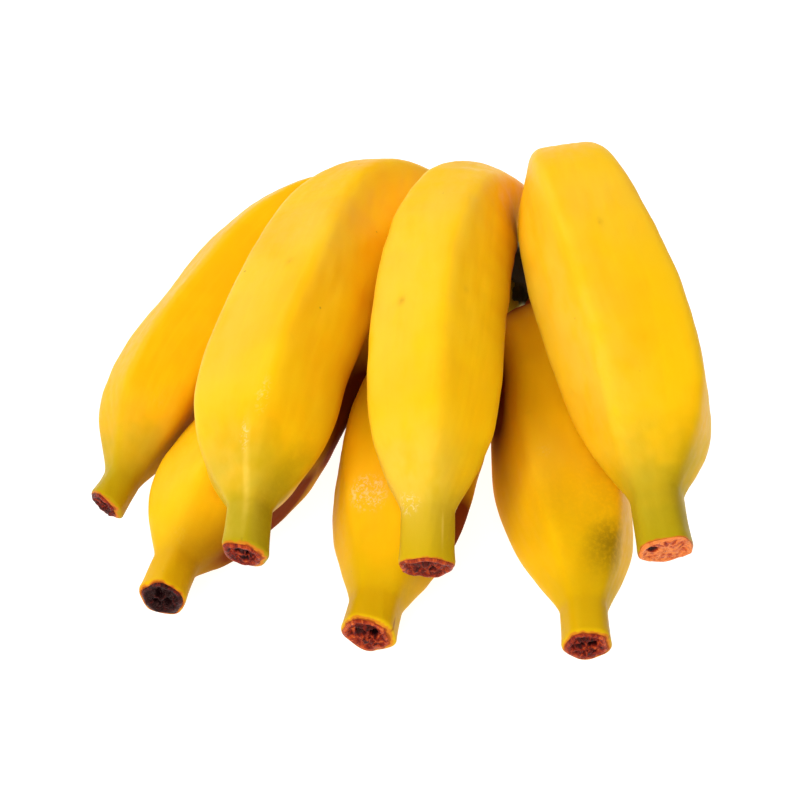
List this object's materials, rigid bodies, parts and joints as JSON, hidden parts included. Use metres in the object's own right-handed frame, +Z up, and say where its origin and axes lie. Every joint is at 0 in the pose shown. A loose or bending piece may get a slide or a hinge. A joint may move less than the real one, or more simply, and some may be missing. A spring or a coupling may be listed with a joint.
{
  "type": "hand of bananas",
  "caption": "Hand of short, thick, ripe yellow bananas in two layers, grown together at one crown and lying with the blossom ends to the front.",
  "frame": {"origin": "on the surface that the hand lies on, under the middle of its overall box", "axes": "+Z up, -Y towards the blossom ends of the fingers, +Y towards the crown"},
  "size_m": [0.1688, 0.1766, 0.0886],
  "materials": {
    "banana_peel": "smooth, waxy, ripe yellow peel with a soft sheen, greenish at the bottleneck and red-brown at the blossom scar",
    "crown_skin": "matt, fibrous, green-brown crown with a dry cut face"
  },
  "bodies": {
    "root": {"crown": "crown_skin", "finger_upper_1": "banana_peel", "finger_upper_2": "banana_peel", "finger_upper_3": "banana_peel", "finger_upper_4": "banana_peel", "finger_lower_1": "banana_peel", "finger_lower_2": "banana_peel", "finger_lower_3": "banana_peel"}
  },
  "joints": []
}
